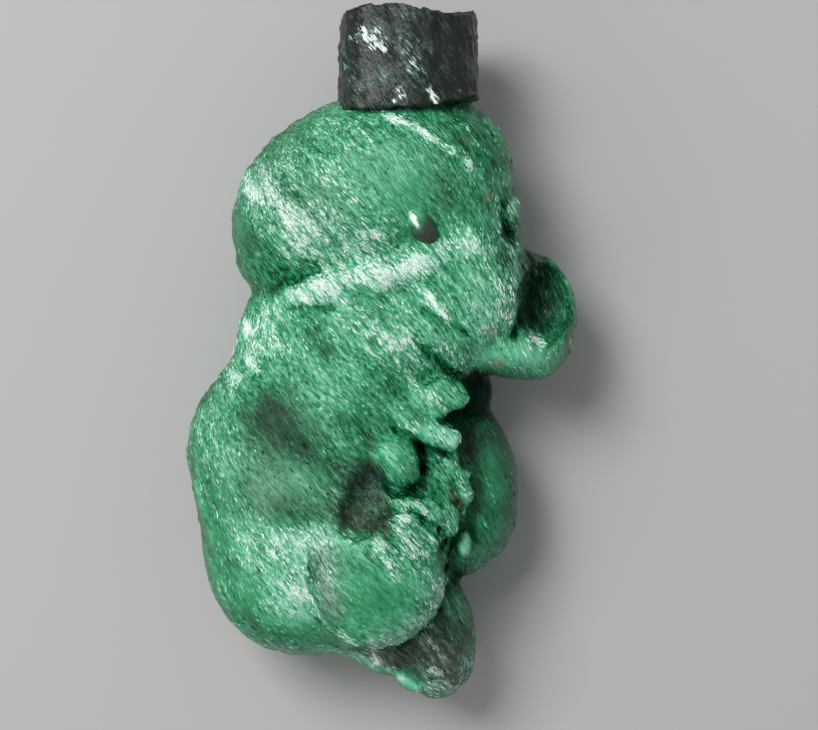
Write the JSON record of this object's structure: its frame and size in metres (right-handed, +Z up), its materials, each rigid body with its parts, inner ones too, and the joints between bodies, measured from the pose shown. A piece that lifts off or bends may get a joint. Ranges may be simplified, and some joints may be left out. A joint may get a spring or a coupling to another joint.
{
  "type": "fibrous malachite specimen",
  "caption": "Small lobed specimen of silky fibrous green malachite with a dark broken stub, a hollow cup of crust at its side and a glassy foot, lying on its back.",
  "frame": {"origin": "under the middle of the specimen, on the flat patches of its back that it rests on", "axes": "+Z up from the back that it rests on, towards the face that is seen; +Y along its length, from the foot to the dark stub; +X to the right of the face, towards the hollow cup"},
  "size_m": [0.0232, 0.0414, 0.0146],
  "materials": {
    "malachite": "silky, with fine parallel fibres that glint"
  },
  "bodies": {
    "root": {"malachite": "malachite"}
  },
  "joints": []
}
